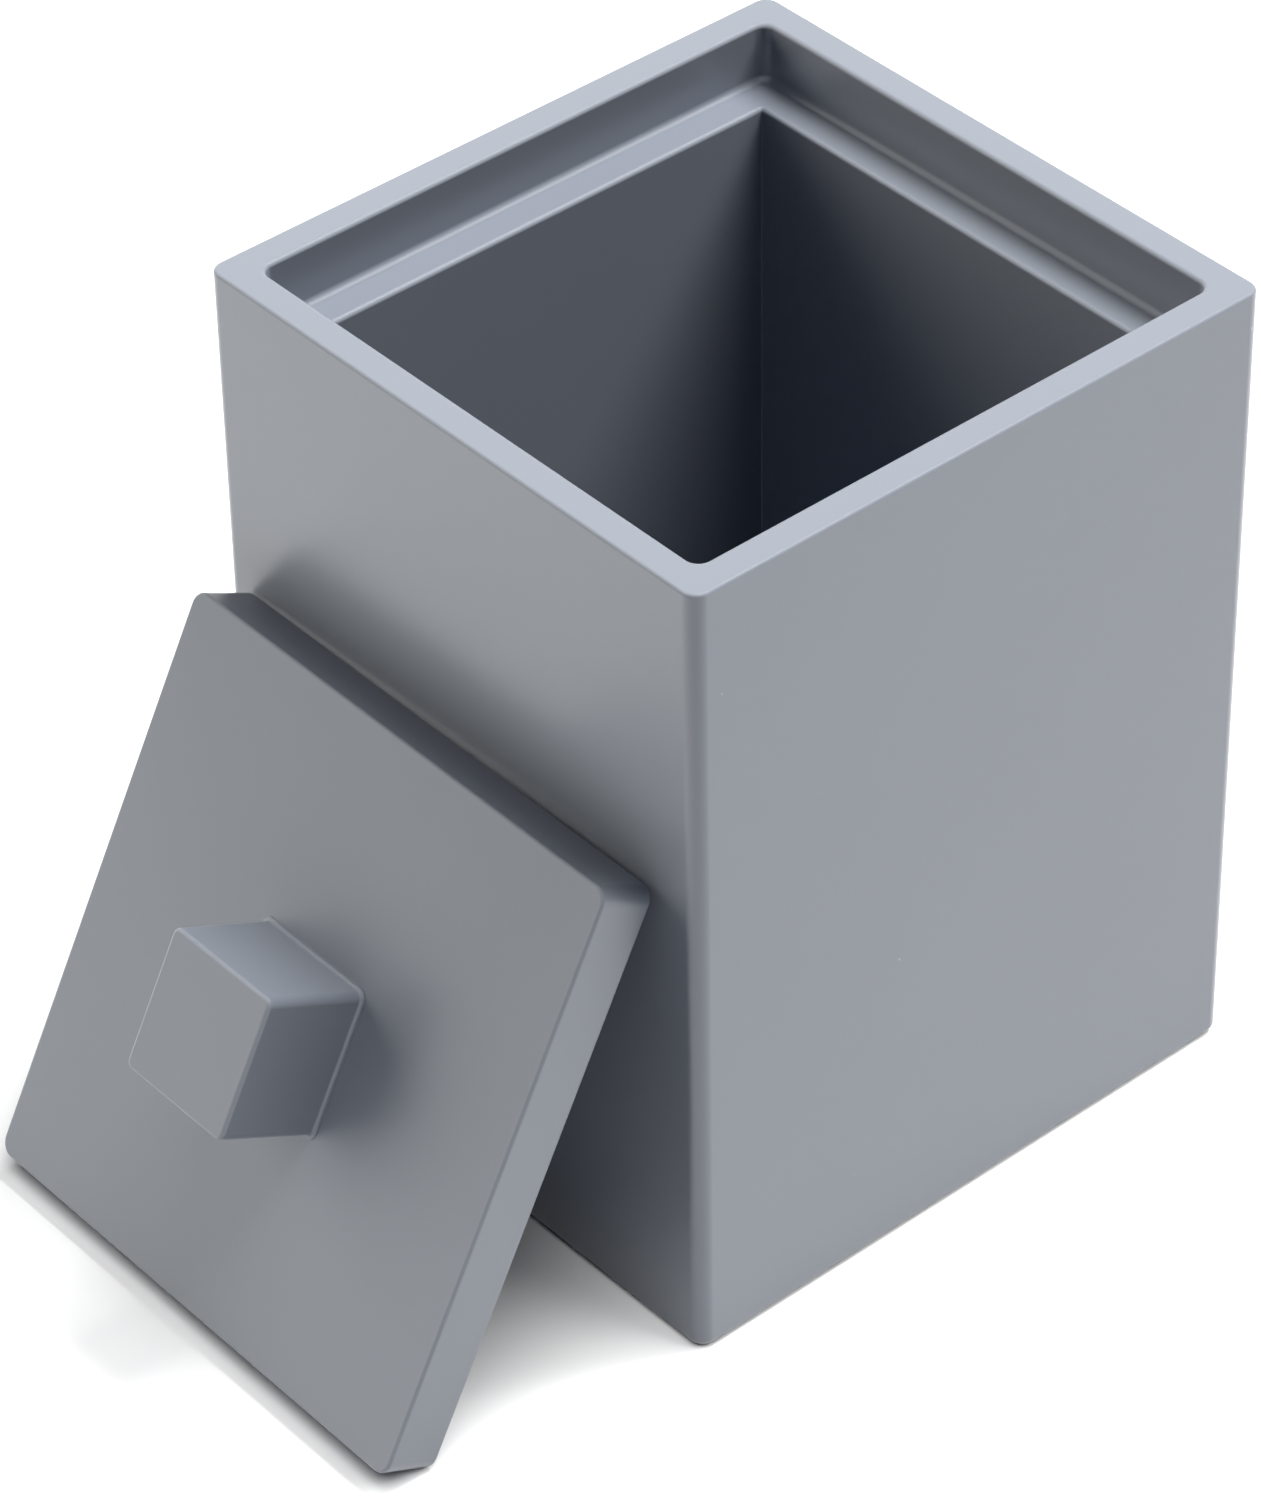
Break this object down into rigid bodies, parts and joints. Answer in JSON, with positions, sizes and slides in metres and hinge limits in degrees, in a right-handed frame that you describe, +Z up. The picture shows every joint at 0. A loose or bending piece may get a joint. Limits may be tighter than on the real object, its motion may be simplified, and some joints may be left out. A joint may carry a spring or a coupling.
{
  "type": "cotton pad holder",
  "caption": "Square lidded jar for cotton pads: cast canister with a stepped mouth, and a drop-in plate lid with a block knob, shown off and leaning on the front wall.",
  "frame": {"origin": "centre of the underside of the non-slip pad, on the surface that the jar stands on", "axes": "+Z up; X across the canister's width; the lid leans on the front wall, at -Y"},
  "size_m": [0.1, 0.1536, 0.1334],
  "materials": {
    "lacquered_resin": "satin blue-grey lacquer sprayed on cast resin",
    "foam_pad": "matte foam rubber",
    "brass_insert": "turned",
    "steel_screw": "zinc plated"
  },
  "bodies": {
    "canister": {"canister_body": "lacquered_resin", "base_pad": "foam_pad"},
    "lid": {"lid_plate": "lacquered_resin", "lid_knob": "lacquered_resin", "knob_insert": "brass_insert", "knob_screw": "steel_screw"}
  },
  "joints": [
    {"name": "lid_lift", "type": "slide", "parent": "canister", "child": "lid", "axis": [0, 0, 1], "range_m": [0, 0.15]}
  ]
}
